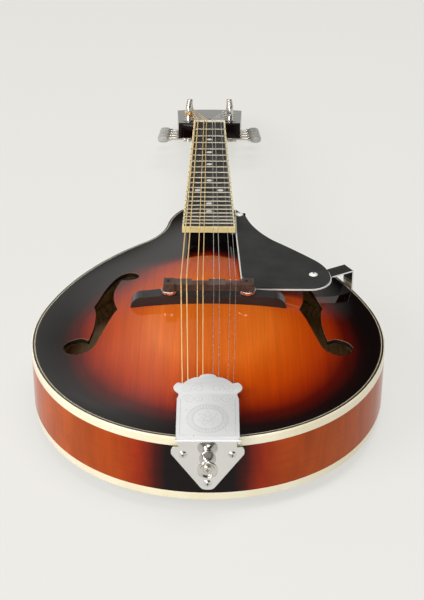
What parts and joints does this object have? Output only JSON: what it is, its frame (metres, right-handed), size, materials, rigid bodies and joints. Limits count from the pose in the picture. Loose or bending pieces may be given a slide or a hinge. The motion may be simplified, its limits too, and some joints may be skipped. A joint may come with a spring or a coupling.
{
  "type": "mandolin",
  "caption": "Teardrop arched-top mandolin with f-holes, floating adjustable bridge, covered tailpiece and geared tuners in pairs.",
  "frame": {"origin": "centre line of the flat spot on the back, directly below the bridge line (the end of the string scale)", "axes": "+Y from the tail to the headstock, +Z out of the top, +X to the treble side"},
  "size_m": [0.254, 0.6801, 0.0909],
  "materials": {
    "top_lacquered_spruce": "gloss sunburst",
    "body_lacquered_maple": "gloss sunburst",
    "bare_inner_wood": "bare",
    "cream_binding": "gloss",
    "black_purfling": "gloss",
    "neck_lacquered_maple": "gloss",
    "dark_rosewood": "satin",
    "black_lacquer": "gloss",
    "fret_nickel": "polished",
    "pearl": "pearl",
    "bone": "satin",
    "black_plastic": "satin gloss",
    "white_plastic": "gloss",
    "polished_nickel": "polished",
    "tuner_nickel": "polished",
    "steel": "plain",
    "wound_bronze": "wound",
    "plain_steel": "bright",
    "key_pearl_grey": "pearl"
  },
  "bodies": {
    "instrument": {"top_plate": "top_lacquered_spruce", "top_purfling": "black_purfling", "back_plate": "body_lacquered_maple", "top_binding": "cream_binding", "back_binding": "cream_binding", "rib_treble": "body_lacquered_maple", "rib_bass": "body_lacquered_maple", "neck_block": "bare_inner_wood", "tail_block": "bare_inner_wood", "top_lining": "bare_inner_wood", "back_lining": "bare_inner_wood", "tone_bars": "bare_inner_wood", "fretboard": "dark_rosewood", "fretboard_binding": "cream_binding", "frets": "fret_nickel", "fret_markers": "pearl", "nut": "bone", "fretboard_riser": "black_lacquer", "neck": "neck_lacquered_maple", "headstock_veneer": "black_lacquer", "truss_rod": "steel", "truss_rod_cover": "black_plastic", "tuner_plate_bass": "tuner_nickel", "tuner_plate_treble": "tuner_nickel", "tuner_bushings": "tuner_nickel", "small_screws": "tuner_nickel", "bridge_base": "dark_rosewood", "bridge_studs": "steel", "tailpiece_base": "polished_nickel", "tailpiece_screws": "tuner_nickel", "strap_button": "polished_nickel", "pickguard_edge": "white_plastic", "pickguard": "black_plastic", "pickguard_bracket": "polished_nickel", "pickguard_screws": "tuner_nickel", "strings_g": "wound_bronze", "strings_d": "wound_bronze", "strings_a": "plain_steel", "strings_e": "plain_steel"},
    "saddle": {"bridge_saddle": "dark_rosewood"},
    "thumbwheel_bass": {"thumbwheel_bass": "polished_nickel"},
    "thumbwheel_treble": {"thumbwheel_treble": "polished_nickel"},
    "cover": {"tailpiece_cover": "polished_nickel"},
    "truss_nut": {"truss_rod_nut": "steel"},
    "tuner_key_bass_1": {"tuner_key_bass_1": "key_pearl_grey"},
    "tuner_post_bass_1": {"tuner_post_bass_1": "tuner_nickel"},
    "tuner_key_bass_2": {"tuner_key_bass_2": "key_pearl_grey"},
    "tuner_post_bass_2": {"tuner_post_bass_2": "tuner_nickel"},
    "tuner_key_bass_3": {"tuner_key_bass_3": "key_pearl_grey"},
    "tuner_post_bass_3": {"tuner_post_bass_3": "tuner_nickel"},
    "tuner_key_bass_4": {"tuner_key_bass_4": "key_pearl_grey"},
    "tuner_post_bass_4": {"tuner_post_bass_4": "tuner_nickel"},
    "tuner_key_treble_1": {"tuner_key_treble_1": "key_pearl_grey"},
    "tuner_post_treble_1": {"tuner_post_treble_1": "tuner_nickel"},
    "tuner_key_treble_2": {"tuner_key_treble_2": "key_pearl_grey"},
    "tuner_post_treble_2": {"tuner_post_treble_2": "tuner_nickel"},
    "tuner_key_treble_3": {"tuner_key_treble_3": "key_pearl_grey"},
    "tuner_post_treble_3": {"tuner_post_treble_3": "tuner_nickel"},
    "tuner_key_treble_4": {"tuner_key_treble_4": "key_pearl_grey"},
    "tuner_post_treble_4": {"tuner_post_treble_4": "tuner_nickel"}
  },
  "joints": [
    {"name": "saddle_height", "type": "slide", "parent": "instrument", "child": "saddle", "axis": [0, 0, 1], "range_m": [-0.00042, 0.00238], "deforming": ["strings_g", "strings_d", "strings_a", "strings_e"]},
    {"name": "thumbwheel_bass_turn", "type": "hinge", "parent": "saddle", "child": "thumbwheel_bass", "pos_m": [-0.0286, 0, 0.0811], "axis": [0, 0, 1], "range_deg": [-216, 1224]},
    {"name": "thumbwheel_treble_turn", "type": "hinge", "parent": "saddle", "child": "thumbwheel_treble", "pos_m": [0.0286, 0, 0.0811], "axis": [0, 0, 1], "range_deg": [-216, 1224]},
    {"name": "cover_slide", "type": "slide", "parent": "instrument", "child": "cover", "axis": [0, -0.9938, -0.1115], "range_m": [0, 0.07]},
    {"name": "truss_nut_turn", "type": "hinge", "parent": "instrument", "child": "truss_nut", "pos_m": [0, 0.36376, 0.05461], "axis": [0, 0.9983, -0.0576], "range_deg": [-180, 180]},
    {"name": "tuner_key_bass_1_turn", "type": "hinge", "parent": "instrument", "child": "tuner_key_bass_1", "pos_m": [-0.0452, 0.39067, 0.03256], "axis": [1, 0, 0], "continuous": true},
    {"name": "tuner_post_bass_1_turn", "type": "hinge", "parent": "instrument", "child": "tuner_post_bass_1", "pos_m": [-0.02, 0.38883, 0.05219], "axis": [0, 0.2974, 0.9548], "continuous": true},
    {"name": "tuner_key_bass_2_turn", "type": "hinge", "parent": "instrument", "child": "tuner_key_bass_2", "pos_m": [-0.0452, 0.41311, 0.02557], "axis": [1, 0, 0], "continuous": true},
    {"name": "tuner_post_bass_2_turn", "type": "hinge", "parent": "instrument", "child": "tuner_post_bass_2", "pos_m": [-0.02, 0.41126, 0.0452], "axis": [0, 0.2974, 0.9548], "continuous": true},
    {"name": "tuner_key_bass_3_turn", "type": "hinge", "parent": "instrument", "child": "tuner_key_bass_3", "pos_m": [-0.0452, 0.43554, 0.01858], "axis": [1, 0, 0], "continuous": true},
    {"name": "tuner_post_bass_3_turn", "type": "hinge", "parent": "instrument", "child": "tuner_post_bass_3", "pos_m": [-0.02, 0.4337, 0.03821], "axis": [0, 0.2974, 0.9548], "continuous": true},
    {"name": "tuner_key_bass_4_turn", "type": "hinge", "parent": "instrument", "child": "tuner_key_bass_4", "pos_m": [-0.0452, 0.45798, 0.01159], "axis": [1, 0, 0], "continuous": true},
    {"name": "tuner_post_bass_4_turn", "type": "hinge", "parent": "instrument", "child": "tuner_post_bass_4", "pos_m": [-0.02, 0.45614, 0.03123], "axis": [0, 0.2974, 0.9548], "continuous": true},
    {"name": "tuner_key_treble_1_turn", "type": "hinge", "parent": "instrument", "child": "tuner_key_treble_1", "pos_m": [0.0452, 0.39067, 0.03256], "axis": [1, 0, 0], "continuous": true},
    {"name": "tuner_post_treble_1_turn", "type": "hinge", "parent": "instrument", "child": "tuner_post_treble_1", "pos_m": [0.02, 0.38883, 0.05219], "axis": [0, 0.2974, 0.9548], "continuous": true},
    {"name": "tuner_key_treble_2_turn", "type": "hinge", "parent": "instrument", "child": "tuner_key_treble_2", "pos_m": [0.0452, 0.41311, 0.02557], "axis": [1, 0, 0], "continuous": true},
    {"name": "tuner_post_treble_2_turn", "type": "hinge", "parent": "instrument", "child": "tuner_post_treble_2", "pos_m": [0.02, 0.41126, 0.0452], "axis": [0, 0.2974, 0.9548], "continuous": true},
    {"name": "tuner_key_treble_3_turn", "type": "hinge", "parent": "instrument", "child": "tuner_key_treble_3", "pos_m": [0.0452, 0.43554, 0.01858], "axis": [1, 0, 0], "continuous": true},
    {"name": "tuner_post_treble_3_turn", "type": "hinge", "parent": "instrument", "child": "tuner_post_treble_3", "pos_m": [0.02, 0.4337, 0.03821], "axis": [0, 0.2974, 0.9548], "continuous": true},
    {"name": "tuner_key_treble_4_turn", "type": "hinge", "parent": "instrument", "child": "tuner_key_treble_4", "pos_m": [0.0452, 0.45798, 0.01159], "axis": [1, 0, 0], "continuous": true},
    {"name": "tuner_post_treble_4_turn", "type": "hinge", "parent": "instrument", "child": "tuner_post_treble_4", "pos_m": [0.02, 0.45614, 0.03123], "axis": [0, 0.2974, 0.9548], "continuous": true}
  ],
  "couplings": [
    {"joint": "saddle_height", "follows": "thumbwheel_bass_turn", "m_per_rad": 0.00011141},
    {"joint": "thumbwheel_treble_turn", "follows": "thumbwheel_bass_turn", "ratio": 1},
    {"joint": "tuner_post_bass_1_turn", "follows": "tuner_key_bass_1_turn", "ratio": 0.066667},
    {"joint": "tuner_post_bass_2_turn", "follows": "tuner_key_bass_2_turn", "ratio": 0.066667},
    {"joint": "tuner_post_bass_3_turn", "follows": "tuner_key_bass_3_turn", "ratio": 0.066667},
    {"joint": "tuner_post_bass_4_turn", "follows": "tuner_key_bass_4_turn", "ratio": 0.066667},
    {"joint": "tuner_post_treble_1_turn", "follows": "tuner_key_treble_1_turn", "ratio": 0.066667},
    {"joint": "tuner_post_treble_2_turn", "follows": "tuner_key_treble_2_turn", "ratio": 0.066667},
    {"joint": "tuner_post_treble_3_turn", "follows": "tuner_key_treble_3_turn", "ratio": 0.066667},
    {"joint": "tuner_post_treble_4_turn", "follows": "tuner_key_treble_4_turn", "ratio": 0.066667}
  ]
}
